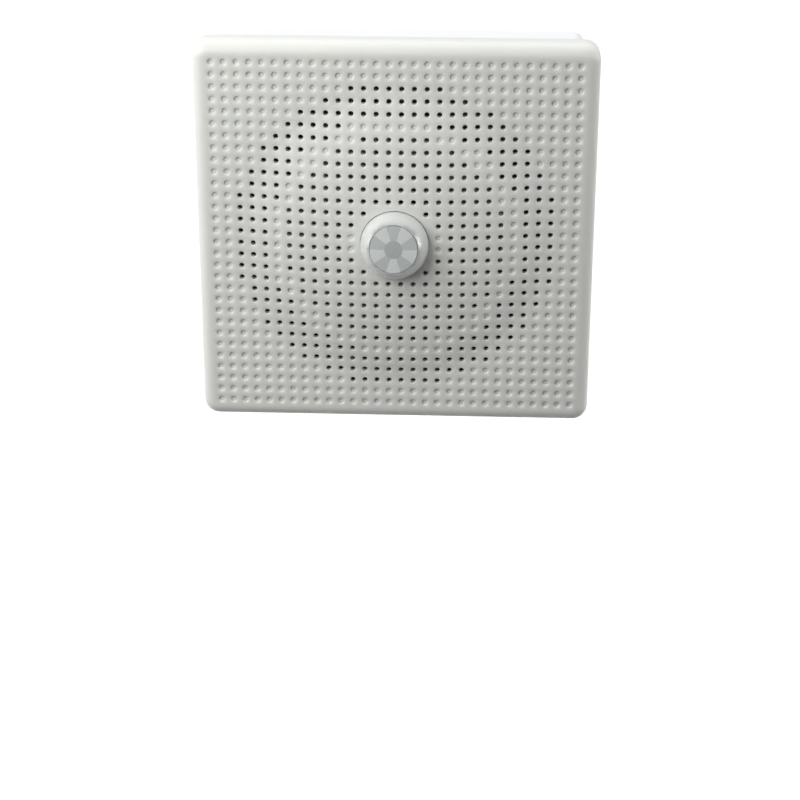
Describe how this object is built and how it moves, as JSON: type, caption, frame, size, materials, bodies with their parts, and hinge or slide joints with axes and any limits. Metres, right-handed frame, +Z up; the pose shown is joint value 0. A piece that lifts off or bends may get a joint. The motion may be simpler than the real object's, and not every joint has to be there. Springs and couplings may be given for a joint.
{
  "type": "motion sensor door chime",
  "caption": "Square door chime with a perforated dome, a swivelling motion sensor ball and a round wall bracket it hooks on to.",
  "frame": {"origin": "on the wall plane, midway between the two lower wall screw holes of the bracket", "axes": "+Z up, the wall is the plane y = 0 and the face looks along -Y"},
  "size_m": [0.1524, 0.0691, 0.1524],
  "materials": {
    "housing": "fine satin",
    "cover": "fine satin",
    "bracket": "satin, slightly warmer than the housing",
    "ball": "gloss",
    "lens": "milky, translucent",
    "nylon": "waxy",
    "steel": "zinc plated",
    "magnet": "ferrite between plated plates",
    "paper": "fibrous paper",
    "foam": "foam",
    "board": "solder mask",
    "black_plastic": "moulded",
    "can": "drawn"
  },
  "bodies": {
    "bracket": {"wall_bracket": "bracket"},
    "chime": {"rear_housing": "housing", "front_cover": "cover", "case_screws": "steel", "screw_caps": "housing", "sensor_socket": "black_plastic", "socket_screws": "steel", "speaker_gasket": "foam", "speaker_frame": "steel", "speaker_cone": "paper", "dust_cap": "paper", "speaker_magnet": "magnet", "speaker_screws": "steel", "main_board": "board", "board_screws": "steel", "sound_chip": "black_plastic", "capacitors": "can", "wire_sockets": "nylon", "supply_jack": "black_plastic", "mode_switch": "steel"},
    "swivel_ring": {"friction_ring": "nylon"},
    "sensor": {"sensor_ball_front": "ball", "sensor_ball_rear": "ball", "fresnel_lens": "lens", "pir_sensor": "can", "pir_board": "board", "retaining_washer": "nylon", "retaining_clip": "steel"},
    "knob": {"switch_knob": "black_plastic"}
  },
  "joints": [
    {"name": "lift_off", "type": "slide", "parent": "bracket", "child": "chime", "axis": [0, 0, 1], "range_m": [0, 0.02]},
    {"name": "sensor_pan", "type": "hinge", "parent": "chime", "child": "swivel_ring", "pos_m": [0, -0.0584, 0.0334], "axis": [0, 0, 1], "range_deg": [-15, 15]},
    {"name": "sensor_tilt", "type": "hinge", "parent": "swivel_ring", "child": "sensor", "pos_m": [0, -0.0584, 0.0334], "axis": [1, 0, 0], "range_deg": [-6, 24]},
    {"name": "mode_slide", "type": "slide", "parent": "chime", "child": "knob", "axis": [1, 0, 0], "range_m": [-0.002, 0.002]}
  ]
}
